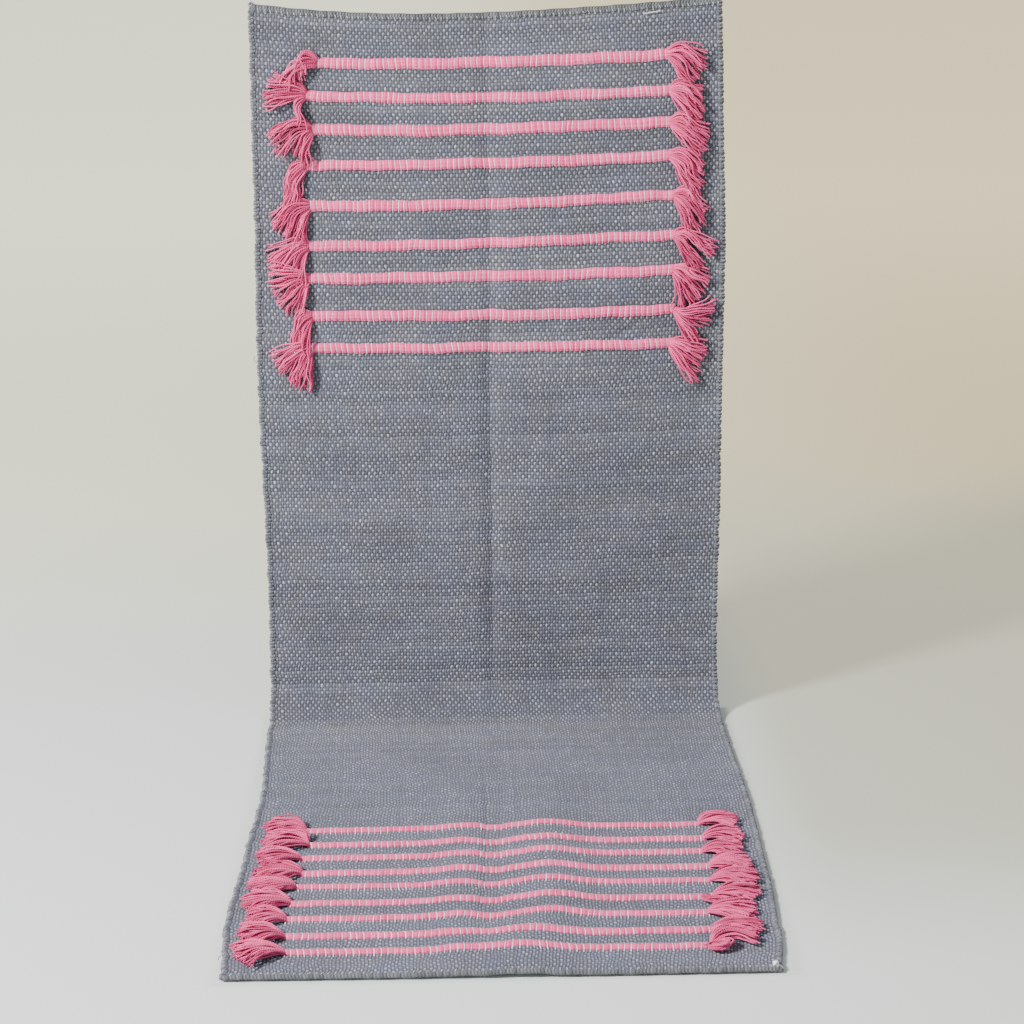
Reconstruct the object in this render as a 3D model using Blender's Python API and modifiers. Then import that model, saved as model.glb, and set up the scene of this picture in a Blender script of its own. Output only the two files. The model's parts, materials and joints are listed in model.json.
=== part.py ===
"""Runner rug: thick plain-woven cotton cloth with pink inlay bundles whose free ends are tassels.

The rug is held up by its far end. It hangs down, bends at the floor and lies on the floor towards -Y.
Metres, +Z up, +X across the rug. The origin is the centre of the bottom of the rug's bounding box.
Every part is modelled on a flat stretch of cloth (+X across, +Y along the cloth towards the top edge,
+Z out of the face) and is parented to the empty that carries that stretch to its place.
"""

import math

import bmesh
import bpy
from mathutils import Vector

# Ground cloth
RUG_WIDTH = 0.500
CLOTH_THICKNESS = 0.004
FLOOR_LENGTH = 0.6995
STRIP_LENGTH = 0.025
TOP_CORNER_HEIGHT = 0.790
TOP_SAG = 0.012
CLOTH_COLUMNS = 8

# Bend: three hinges share the quarter turn from the floor up to the hanging panel
BEND_HINGES = 3
BEND_STEP = math.radians(90 / BEND_HINGES)
HINGE_CLEARANCE = 0.0012
SELVEDGE_ROUND = 0.0014

# Hems: the cloth's ends, folded over and sewn down
HEM_WIDTH = 0.008
HEM_THICKNESS = 0.0055
HEM_ROUND = 0.0018

# Inlay bands
BAND_COUNT = 9
BAND_HALF_LENGTH = 0.195
BAND_WIDTH = 0.011
BAND_HEIGHT = 0.0032
BAND_ROUND = 0.0012
BAND_COLUMNS = 6
LOWER_BAND_MARGIN = 0.0550
LOWER_BAND_PITCH = 0.0383
UPPER_BAND_MARGIN = 0.0582
UPPER_BAND_PITCH = 0.0391
# Hand-laid bands aren't evenly spaced: how far each lies above or behind its even place
LOWER_BAND_SHIFTS = (-0.0015, -0.0035, 0, -0.0010, 0.0025, 0, 0.0010, -0.0015, 0.0010)
UPPER_BAND_SHIFTS = (-0.0010, 0, 0.0040, 0.0060, 0.0010, -0.0030, 0, -0.0035, -0.0010)
UPPER_BAND_SAG = 0.0055
LAST_BAND_SAG = 0.0015

# Tassels
TASSEL_LENGTH = 0.052
ROOT_WIDTH = 0.009
ROOT_HEIGHT = 0.0035
UPPER_TASSEL_WIDTH = 0.0220
UPPER_TASSEL_HEIGHT = 0.012
UPPER_TASSEL_DROOP = math.radians(50)
LOWER_TASSEL_WIDTH = 0.0340
LOWER_TASSEL_HEIGHT = 0.010
LOWER_TASSEL_DROOP = math.radians(4)
# Share of the way from root to end at which each cross-section of a tassel stands
TASSEL_SECTIONS = (0.0, 0.25, 0.68, 1.0)
# How far each of those sections has grown from the root's size to the full size
TASSEL_GROWTH = (0.0, 0.55, 1.0, 0.85)

# Running gap between pieces that touch
GAP = 0.0003

# Edges sharper than this are rounded
SHARP_EDGE = math.radians(40)

GREY_COTTON = (0.215, 0.220, 0.260)
PALE_GREY_COTTON = (0.300, 0.305, 0.340)
LIGHT_PINK_COTTON = (0.850, 0.260, 0.370)
DEEP_PINK_COTTON = (0.720, 0.115, 0.235)

# Values that follow from the ones above
FACE = CLOTH_THICKNESS / 2
BEND_RISE = STRIP_LENGTH * sum(math.sin(BEND_STEP * step) for step in range(1, BEND_HINGES))
DEPTH = FLOOR_LENGTH + BEND_RISE + FACE
FRONT_EDGE = -DEPTH / 2
FIRST_HINGE = FRONT_EDGE + FLOOR_LENGTH
HANGING_LENGTH = TOP_CORNER_HEIGHT - FACE - BEND_RISE


def clear_scene():
    for leftover in list(bpy.data.objects):
        bpy.data.objects.remove(leftover)


def make_collection(name):
    collection = bpy.data.collections.new(name)
    bpy.context.scene.collection.children.link(collection)
    return collection


def cotton(name, colour, roughness):
    material = bpy.data.materials.new(name)
    material.use_nodes = True
    shader = material.node_tree.nodes["Principled BSDF"]
    shader.inputs["Base Color"].default_value = (*colour, 1)
    shader.inputs["Roughness"].default_value = roughness
    shader.inputs["Metallic"].default_value = 0
    return material


def add_object(name, form, colour, carrier, roughness=0.9):
    """Turns a bmesh into a named object with its own material, on the stretch of cloth that carries it."""
    mesh = bpy.data.meshes.new(name)
    form.to_mesh(mesh)
    form.free()
    mesh.materials.append(cotton(name + "_cotton", colour, roughness))
    thing = bpy.data.objects.new(name, mesh)
    rug.objects.link(thing)
    thing.parent = carrier
    return thing


def add_empty(name, location, turn, carrier):
    """An empty on a hinge axis, turned about X from the stretch of cloth before it."""
    empty = bpy.data.objects.new(name, None)
    rug.objects.link(empty)
    empty.location = location
    empty.rotation_euler = (turn, 0, 0)
    empty.parent = carrier
    return empty


def round_edges(thing, width, segments=2):
    bevel = thing.modifiers.new("round_edges", "BEVEL")
    bevel.width = width
    bevel.segments = segments
    bevel.limit_method = "ANGLE"
    bevel.angle_limit = SHARP_EDGE


def sag_at(x, deepest):
    """How far a line held at both edges of the cloth hangs below them at x."""
    return deepest * (1 - (2 * x / RUG_WIDTH) ** 2)


def top_edge_at(x):
    return HANGING_LENGTH - sag_at(x, TOP_SAG)


def make_plate(name, carrier, low, high, thickness, edge_round, colour, columns=1):
    """A flat stretch of cloth from low(x) to high(x) along Y, with its back in the plane of the cloth's back."""
    form = bmesh.new()
    bmesh.ops.create_grid(form, x_segments=columns, y_segments=1, size=0.5)
    middle = thickness / 2 - FACE
    for vertex in form.verts:
        x = vertex.co.x * RUG_WIDTH
        edge = high if vertex.co.y > 0 else low
        vertex.co = Vector((x, edge(x), middle))
    plate = add_object(name, form, colour, carrier)
    solidify = plate.modifiers.new("thickness", "SOLIDIFY")
    solidify.thickness = thickness
    solidify.offset = 0
    round_edges(plate, edge_round)
    return plate


def make_floor_cloth():
    return make_plate(
        "floor_cloth",
        floor_stretch,
        lambda x: FRONT_EDGE + HEM_WIDTH + GAP,
        lambda x: FIRST_HINGE - HINGE_CLEARANCE,
        CLOTH_THICKNESS,
        SELVEDGE_ROUND,
        GREY_COTTON,
    )


def make_front_hem():
    return make_plate(
        "front_hem",
        floor_stretch,
        lambda x: FRONT_EDGE,
        lambda x: FRONT_EDGE + HEM_WIDTH,
        HEM_THICKNESS,
        HEM_ROUND,
        PALE_GREY_COTTON,
    )


def make_bend_strip(name, carrier):
    return make_plate(
        name,
        carrier,
        lambda x: HINGE_CLEARANCE,
        lambda x: STRIP_LENGTH - HINGE_CLEARANCE,
        CLOTH_THICKNESS,
        SELVEDGE_ROUND,
        GREY_COTTON,
    )


def make_hanging_cloth():
    return make_plate(
        "hanging_cloth",
        hanging_stretch,
        lambda x: HINGE_CLEARANCE,
        lambda x: top_edge_at(x) - HEM_WIDTH - GAP,
        CLOTH_THICKNESS,
        SELVEDGE_ROUND,
        GREY_COTTON,
        CLOTH_COLUMNS,
    )


def make_top_hem():
    return make_plate(
        "top_hem",
        hanging_stretch,
        lambda x: top_edge_at(x) - HEM_WIDTH,
        top_edge_at,
        HEM_THICKNESS,
        HEM_ROUND,
        PALE_GREY_COTTON,
        CLOTH_COLUMNS,
    )


def unit_bar(sections):
    """A unit cube cut across into sections along X."""
    form = bmesh.new()
    bmesh.ops.create_cube(form, size=1)
    along_x = [edge for edge in form.edges if edge.verts[0].co.yz == edge.verts[1].co.yz]
    bmesh.ops.subdivide_edges(form, edges=along_x, cuts=sections - 1, use_grid_fill=True)
    return form


def make_band(name, carrier, along, sag):
    """A pink bundle laid across the face, from tassel root to tassel root."""
    form = unit_bar(BAND_COLUMNS)
    for vertex in form.verts:
        x = vertex.co.x * 2 * BAND_HALF_LENGTH
        y = vertex.co.y * BAND_WIDTH - sag_at(x, sag)
        z = (vertex.co.z + 0.5) * BAND_HEIGHT
        vertex.co = Vector((x, y, z))
    band = add_object(name, form, LIGHT_PINK_COTTON, carrier, roughness=0.85)
    band.location = (0, along, FACE + GAP)
    round_edges(band, BAND_ROUND)
    return band


def tassel_form(width, height):
    """A tuft that grows from its root along +X, flat below, with the hinge axis on its root's top edge."""
    sections = len(TASSEL_SECTIONS) - 1
    form = unit_bar(sections)
    for vertex in form.verts:
        section = round((vertex.co.x + 0.5) * sections)
        growth = TASSEL_GROWTH[section]
        x = TASSEL_SECTIONS[section] * TASSEL_LENGTH
        y = vertex.co.y * (ROOT_WIDTH + growth * (width - ROOT_WIDTH))
        z = (vertex.co.z + 0.5) * (ROOT_HEIGHT + growth * (height - ROOT_HEIGHT))
        vertex.co = Vector((x, y, z - ROOT_HEIGHT))
    return form


def make_tassel(name, carrier, along, side, droop, width, height):
    """One free end of a bundle; side is 1 at the right edge of the cloth and -1 at the left."""
    tassel = add_object(name, tassel_form(width, height), DEEP_PINK_COTTON, carrier)
    root = BAND_HALF_LENGTH + 2 * GAP + ROOT_WIDTH / 2 * math.sin(droop)
    tassel.location = (side * root, along, FACE + GAP + ROOT_HEIGHT)
    tassel.rotation_euler = (0, 0, -droop if side > 0 else math.pi + droop)
    soft = tassel.modifiers.new("soft", "SUBSURF")
    soft.levels = 1
    soft.render_levels = 1
    return tassel


def make_stripe(group, number, carrier, along, sag, droop, width, height):
    """One inlay bundle: its band and the tassels at its two ends."""
    make_band(f"inlay_band_{group}_{number}", carrier, along, sag)
    root_along = along - sag_at(BAND_HALF_LENGTH, sag)
    for side, edge in ((-1, "left"), (1, "right")):
        make_tassel(f"tassel_{group}_{edge}_{number}", carrier, root_along, side, droop, width, height)


def make_upper_stripes():
    for index in range(BAND_COUNT):
        make_stripe(
            "upper",
            index + 1,
            hanging_stretch,
            HANGING_LENGTH - UPPER_BAND_MARGIN - UPPER_BAND_PITCH * index + UPPER_BAND_SHIFTS[index],
            UPPER_BAND_SAG + (LAST_BAND_SAG - UPPER_BAND_SAG) * index / (BAND_COUNT - 1),
            UPPER_TASSEL_DROOP,
            UPPER_TASSEL_WIDTH,
            UPPER_TASSEL_HEIGHT,
        )


def make_lower_stripes():
    for index in range(BAND_COUNT):
        from_front = LOWER_BAND_MARGIN + LOWER_BAND_PITCH * (BAND_COUNT - 1 - index)
        make_stripe(
            "lower",
            index + 1,
            floor_stretch,
            FRONT_EDGE + from_front + LOWER_BAND_SHIFTS[index],
            0,
            LOWER_TASSEL_DROOP,
            LOWER_TASSEL_WIDTH,
            LOWER_TASSEL_HEIGHT,
        )


clear_scene()
rug = make_collection("runner_rug")

floor_stretch = add_empty("floor_stretch", (0, 0, FACE), 0, None)
first_strip = add_empty("first_strip", (0, FIRST_HINGE, 0), BEND_STEP, floor_stretch)
second_strip = add_empty("second_strip", (0, STRIP_LENGTH, 0), BEND_STEP, first_strip)
hanging_stretch = add_empty("hanging_stretch", (0, STRIP_LENGTH, 0), BEND_STEP, second_strip)

make_floor_cloth()
make_front_hem()
make_bend_strip("bend_cloth_low", first_strip)
make_bend_strip("bend_cloth_high", second_strip)
make_hanging_cloth()
make_top_hem()
make_upper_stripes()
make_lower_stripes()
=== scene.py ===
"""Visual model of the runner rug: woven ground cloth, pink bundles tied down on it, and loose tassels.

A point of the rug has flat coordinates in metres: u across it (0 on the centre line), v along the cloth
from the front edge to the top edge, and w out of its face. on_rug() puts such points where they lie.
"""

import json
import math

import bpy
import numpy as np
from mathutils import Matrix, Vector


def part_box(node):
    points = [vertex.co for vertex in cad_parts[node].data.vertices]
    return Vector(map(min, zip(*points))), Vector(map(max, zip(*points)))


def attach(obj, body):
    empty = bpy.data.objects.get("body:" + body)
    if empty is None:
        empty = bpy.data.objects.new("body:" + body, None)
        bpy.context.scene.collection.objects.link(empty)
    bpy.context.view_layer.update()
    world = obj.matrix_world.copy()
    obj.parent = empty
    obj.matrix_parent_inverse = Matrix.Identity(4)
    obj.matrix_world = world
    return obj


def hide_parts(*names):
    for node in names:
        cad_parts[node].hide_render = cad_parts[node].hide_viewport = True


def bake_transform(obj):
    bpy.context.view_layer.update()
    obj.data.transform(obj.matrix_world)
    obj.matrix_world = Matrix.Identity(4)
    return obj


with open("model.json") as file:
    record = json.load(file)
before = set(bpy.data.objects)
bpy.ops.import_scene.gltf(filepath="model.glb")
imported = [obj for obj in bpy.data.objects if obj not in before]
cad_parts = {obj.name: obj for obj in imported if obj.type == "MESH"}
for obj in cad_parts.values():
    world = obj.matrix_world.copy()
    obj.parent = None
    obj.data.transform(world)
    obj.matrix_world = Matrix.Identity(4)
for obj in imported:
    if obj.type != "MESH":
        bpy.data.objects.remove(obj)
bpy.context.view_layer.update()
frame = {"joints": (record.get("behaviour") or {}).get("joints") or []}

# ---------------------------------------------------------------- sizes read from the frame
JOINT_AT = {joint["name"]: np.array(joint["pos_m"]) for joint in frame["joints"]}
FLOOR_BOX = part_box("floor_cloth")
FRONT_HEM_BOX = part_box("front_hem")
TOP_HEM_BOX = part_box("top_hem")

WIDTH = FLOOR_BOX[1].x - FLOOR_BOX[0].x
THICKNESS = FLOOR_BOX[1].z - FLOOR_BOX[0].z
FRONT_EDGE = FRONT_HEM_BOX[0].y
HEM_WIDTH = FRONT_HEM_BOX[1].y - FRONT_HEM_BOX[0].y
HEM_THICKNESS = FRONT_HEM_BOX[1].z - FRONT_HEM_BOX[0].z
MIDDLE_Z = THICKNESS / 2

# The bend is an arc that touches the floor stretch and the hanging stretch
STRIP = float(np.linalg.norm(JOINT_AT["bend_middle"] - JOINT_AT["bend_low"]))
STRIP_RUN = JOINT_AT["bend_middle"] - JOINT_AT["bend_low"]
STRIP_TURN = math.atan2(STRIP_RUN[2], STRIP_RUN[1])
BEND_RADIUS = STRIP / 2 / math.tan(STRIP_TURN / 2)
FLOOR_END = JOINT_AT["bend_low"][1] - STRIP / 2 - FRONT_EDGE
BEND_END = FLOOR_END + BEND_RADIUS * math.pi / 2
HANG_Z = MIDDLE_Z + BEND_RADIUS
LENGTH = BEND_END + TOP_HEM_BOX[1].z - HANG_Z

# ---------------------------------------------------------------- how the rug is woven
WARPS = 160
WEFTS = 385
WARP_PITCH = WIDTH / WARPS
WEFT_PITCH = LENGTH / WEFTS
SAMPLES_PER_THREAD = 2
FACE_HEIGHT = 0.0015
WEAVE_RELIEF = 0.00038
SELVEDGE_RADIUS = 0.0021
SELVEDGE_LIFT = 0.0004
SELVEDGE_TUBE = 0.00125

BAND_WIDTH = 0.011
BAND_HEIGHT = 0.0032
TIE_PITCH = 2 * WARP_PITCH
TIE_RADIUS = 0.00042

STRANDS = 54
STRAND_RADIUS = 0.00080
STRAND_STEPS = 15


# ---------------------------------------------------------------- camera
CAMERA_PLACE = (-0.0254, -2.6288, 0.9868)
CAMERA_LENS_MM = 98.5
CAMERA_SENSOR_MM = 36
CAMERA_PITCH_DOWN, CAMERA_YAW, CAMERA_ROLL = (math.radians(angle) for angle in (14.131, 0.879, -0.754))


def make_camera():
    """The camera stands in front of the rug, a little above its top edge, and looks down at it."""
    data = bpy.data.cameras.new("camera")
    data.lens = CAMERA_LENS_MM
    data.sensor_width = CAMERA_SENSOR_MM
    camera = bpy.data.objects.new("camera", data)
    bpy.context.scene.collection.objects.link(camera)
    camera.matrix_world = (
        Matrix.Translation(CAMERA_PLACE)
        @ Matrix.Rotation(-CAMERA_YAW, 4, "Z")
        @ Matrix.Rotation(math.pi / 2 - CAMERA_PITCH_DOWN, 4, "X")
        @ Matrix.Rotation(CAMERA_ROLL, 4, "Z")
    )
    bpy.context.scene.camera = camera


# ---------------------------------------------------------------- how the rug lies
# Stops along the rug: v, then the edge's place across, a depth, a height or a place across
LEFT_EDGE = (
    (0.0, -0.2485), (0.13, -0.2540), (0.30, -0.249), (0.46, -0.2445), (0.69, -0.2506),
    (0.85, -0.2490), (1.10, -0.2525), (1.30, -0.2500), (1.51, -0.2490),
)
RIGHT_EDGE = (
    (0.0, 0.2385), (0.08, 0.2455), (0.22, 0.2500), (0.42, 0.2525), (0.66, 0.2480), (0.80, 0.2458),
    (1.00, 0.2495), (1.25, 0.2530), (1.40, 0.2500), (1.51, 0.2480),
)
FOLD_PLACE = ((0.0, 0.0), (0.30, 0.009), (0.60, 0.003), (0.80, 0.0))
CREASE_DEPTH = ((0.0, 0.0), (0.55, 0.0024), (0.72, 0.0050), (0.95, 0.0060), (1.30, 0.0046), (1.51, 0.0026))
LEFT_HUMP = ((0.0, 0.0010), (0.07, 0.0030), (0.20, 0.0035), (0.42, 0.0030), (0.60, 0.0))
RIGHT_HUMP = ((0.0, 0.0025), (0.06, 0.0060), (0.16, 0.0068), (0.33, 0.0062), (0.45, 0.0030), (0.60, 0.0))
HUMP_PLACE = ((0.0, 0.020), (0.06, 0.018), (0.14, 0.045), (0.33, 0.042), (0.60, 0.035))


def eased(at, stops):
    """A smooth line through (place, value) stops, level at each of them."""
    places, values = np.array(stops, float).T
    index = np.clip(np.searchsorted(places, at) - 1, 0, len(places) - 2)
    share = np.clip((at - places[index]) / (places[index + 1] - places[index]), 0, 1)
    share = share * share * (3 - 2 * share)
    return values[index] + share * (values[index + 1] - values[index])


# The hanging stretch sags a little more with height, sharply under the top edge, and more on the left
SAG_WITH_HEIGHT = 0.0062
SAG_AT_TOP = 0.0065
SAG_TILT = 0.42
# The front edge lies further out than its even place, and its left corner is drawn in
FRONT_OUT = 0.0025
CORNER_IN = 0.004
FRONT_FADE = 0.25


def sag(u, v):
    """How far the cloth lies from its even place towards the front edge, which is down where it hangs."""
    across = 2 * u / WIDTH
    height = np.clip((v - BEND_END) / (LENGTH - BEND_END), 0, 1.02)
    hanging = SAG_WITH_HEIGHT * height + SAG_AT_TOP * height**12
    hanging = hanging * (1 - across**2) * (1 - SAG_TILT * across)
    corner = np.clip((0.3 - across) / 1.3, 0, 1) ** 1.3
    return hanging + (FRONT_OUT - CORNER_IN * corner) * np.clip(1 - v / FRONT_FADE, 0, 1)


# Small slanting dents in the hanging stretch: u, v, slant in degrees, half length, half width, depth
DENTS = (
    (0.143, 1.147, 28, 0.030, 0.0040, 0.0016), (0.018, 0.806, -35, 0.012, 0.0035, 0.0018),
    (-0.060, 1.020, 30, 0.035, 0.0060, 0.0010), (0.090, 0.800, 8, 0.030, 0.0050, 0.0012),
)


def crease(u, v):
    """The fold line up the middle: the cloth bulges out on both sides of it and comes back at the edges."""
    fold = u + 0.001 - eased(v, FOLD_PLACE)
    left_flank = 0.55 * np.clip(1 + fold / 0.12, 0, 1) ** 2 + 0.45 * np.clip(1 + fold / 0.020, 0, 1) ** 2
    right_flank = 0.70 * np.clip(1 - fold / 0.026, 0, 1) ** 2 + 0.30 * np.clip(1 - fold / 0.07, 0, 1) ** 2
    bulge = np.clip(1 - (2 * u / WIDTH) ** 2, 0, 1)
    return eased(v, CREASE_DEPTH) * (bulge - np.where(fold <= 0, left_flank, right_flank))


def groove(u, v):
    """The narrow groove between the two humps of the floor stretch."""
    depth = -0.0032 * np.clip(1 - np.abs(u + 0.010) / 0.016, 0, 1) ** 1.5 * np.clip((v - 0.09) / 0.08, 0, 1)
    return depth * np.clip((0.70 - v) / 0.2, 0, 1)


def humps(u, v):
    """Two soft ridges along the floor stretch, one on each side of the groove."""
    left = eased(v, LEFT_HUMP) * np.exp(-(((u + 0.040) / 0.024) ** 2))
    return left + eased(v, RIGHT_HUMP) * np.exp(-(((u - eased(v, HUMP_PLACE)) / 0.034) ** 2))


def waves(u, v):
    """Slow waves of the hanging stretch, with its dents."""
    waves = 0.0018 * np.sin(21 * u + 1.1 * np.sin(5.3 * v)) * np.sin(6.1 * v + 0.7 + 2.3 * u)
    waves = waves + 0.0008 * np.sin(47 * u - 7.9 * v) * np.sin(13.1 * v + 9 * u)
    for dent_u, dent_v, slant, long, wide, deep in DENTS:
        cos, sin = math.cos(math.radians(slant)), math.sin(math.radians(slant))
        along = (u - dent_u) * cos + (v - dent_v) * sin
        aside = (v - dent_v) * cos - (u - dent_u) * sin
        waves = waves - deep * np.clip(1 - (along / long) ** 2, 0, 1) * np.exp(-((aside / wide) ** 2))
    return waves


def lift(u, v):
    """How far the cloth stands out of its flat plane. On the floor it never goes below it."""
    hanging = np.clip((v - FLOOR_END) / 0.15, 0, 1)
    shape = crease(u, v) * hanging + groove(u, v) + humps(u, v)
    return np.maximum(shape, np.where(v < FLOOR_END, 0, -1)) + waves(u, v) * hanging


# Hand-woven threads aren't evenly spaced: how far each warp and each weft lies from its even place
SPARE_THREADS = 4
EDGE_FADE = 0.01
THREAD_RANDOM = np.random.default_rng(3)
WARP_SHIFT = THREAD_RANDOM.normal(0, 0.00026, WARPS + 2 * SPARE_THREADS + 1)
WEFT_SHIFT = THREAD_RANDOM.normal(0, 0.00038, WEFTS + 2 * SPARE_THREADS + 1)


def thread_shift(place, pitch, shifts, first):
    """The shift at a place between two threads; the list starts at the thread with number first."""
    return np.interp(place / pitch - first, np.arange(len(shifts)), shifts)


def wandered(u, v):
    """Flat coordinates moved with the uneven threads, which settle to their even places at the edges."""
    middle = np.clip((WIDTH / 2 - np.abs(u)) / EDGE_FADE, 0, 1)
    middle = middle * np.clip(v / EDGE_FADE, 0, 1) * np.clip((LENGTH - v) / EDGE_FADE, 0, 1)
    shift_u = thread_shift(u, WARP_PITCH, WARP_SHIFT, -WARPS / 2 - SPARE_THREADS) * middle
    shift_v = thread_shift(v, WEFT_PITCH, WEFT_SHIFT, -SPARE_THREADS) * middle
    slip = 0.0006 * np.sin(96 * v + 5 * np.sin(37 * u)) + 0.0004 * np.sin(233 * v - 60 * u)
    rise = 0.0004 * np.sin(88 * u + 4 * np.sin(29 * v)) + 0.0003 * np.sin(210 * u + 70 * v)
    return u + shift_u + slip * middle, v + shift_v + rise * middle


def on_rug(u, v, w):
    """Row-frame points for flat coordinates, as an array whose last axis is x, y, z."""
    u, v, w = np.broadcast_arrays(*(np.asarray(value, float) for value in (u, v, w)))
    u, v = wandered(u, v)
    scallop = 0.0006 * np.sin(170 * v + 3 * np.sin(23 * v)) + 0.0003 * np.sin(331 * v)
    left = eased(v, LEFT_EDGE) - scallop
    right = eased(v, RIGHT_EDGE) + 0.7 * scallop * np.cos(31 * v)
    x = left + (u / WIDTH + 0.5) * (right - left)
    along = v - sag(u, v)
    out = w + lift(u, v)
    angle = np.clip((along - FLOOR_END) / BEND_RADIUS, 0, math.pi / 2)
    y = FRONT_EDGE + np.minimum(along, FLOOR_END) + (BEND_RADIUS - out) * np.sin(angle)
    above = np.maximum(along - BEND_END, 0)
    z = MIDDLE_Z + BEND_RADIUS * (1 - np.cos(angle)) + above + out * np.cos(angle)
    return np.stack((x, y, z), axis=-1)


# ---------------------------------------------------------------- mesh making
def skin(rows, around):
    """Quads over a closed outline of an even number of points, carried along rows and closed at both ends.
    Returns each corner's row and its place round the outline, from 0 to around."""
    row, place = (axis.ravel() for axis in np.mgrid[0 : rows - 1, 0:around])
    corner_rows = [np.stack((row, row, row + 1, row + 1), 1)]
    corner_places = [np.stack((place, place + 1, place + 1, place), 1)]
    rung = np.arange(around // 2 - 1)
    ladder = np.stack((rung, around - 1 - rung, around - 2 - rung, rung + 1), 1)
    for end, order in ((0, slice(None)), (rows - 1, slice(None, None, -1))):
        corner_rows.append(np.full(ladder.shape, end))
        corner_places.append(ladder[:, order])
    return np.concatenate(corner_rows), np.concatenate(corner_places)


def make_piece(name, rings, flat, material, slot):
    """A closed mesh through rings of points, (solids, rows, around, 3), with flat coordinates
    (solids, rows, around + 1, 2) as its UV map."""
    solids, rows, around, _ = rings.shape
    corner_rows, corner_places = skin(rows, around)
    first = np.arange(solids)[:, None, None] * rows * around
    faces = (first + corner_rows * around + corner_places % around).reshape(-1, 4)
    mesh = bpy.data.meshes.new(name)
    mesh.from_pydata(rings.reshape(-1, 3), [], faces)
    layer = mesh.uv_layers.new(name="flat")
    layer.data.foreach_set("uv", flat[:, corner_rows, corner_places].astype(np.float32).ravel())
    mesh.shade_smooth()
    mesh.set_sharp_from_angle(angle=math.radians(70))
    mesh.materials.append(material)
    piece = bpy.data.objects.new(name, mesh)
    bpy.context.scene.collection.objects.link(piece)
    return piece


def unit(vectors):
    return vectors / np.maximum(np.linalg.norm(vectors, axis=-1, keepdims=True), 1e-12)


def tube_rings(paths, radii, sides=6):
    """Rings round each of many paths, (tubes, steps, 3), and their flat coordinates: metres along the tube,
    and the tube's number plus the share of the way round it."""
    tubes, steps, _ = paths.shape
    ahead = unit(np.gradient(paths, axis=1))
    side = np.empty_like(paths)
    start = np.cross(ahead[:, 0], (0.31, 0.27, 0.91))
    for step in range(steps):
        start = unit(start - (start * ahead[:, step]).sum(-1, keepdims=True) * ahead[:, step])
        side[:, step] = start
    other = np.cross(ahead, side)
    turn = np.arange(sides) * 2 * math.pi / sides
    radii = np.broadcast_to(radii, (tubes, steps))[:, :, None, None]
    round_it = np.cos(turn)[:, None] * side[:, :, None] + np.sin(turn)[:, None] * other[:, :, None]
    rings = paths[:, :, None] + radii * round_it
    travelled = np.linalg.norm(np.diff(paths, axis=1, prepend=paths[:, :1]), axis=-1).cumsum(1)
    share = 0.02 + 0.96 * np.arange(sides + 1) / sides
    flat = np.empty((tubes, steps, sides + 1, 2))
    flat[..., 0] = travelled[:, :, None]
    flat[..., 1] = np.arange(tubes)[:, None, None] + share
    return rings, flat


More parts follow.
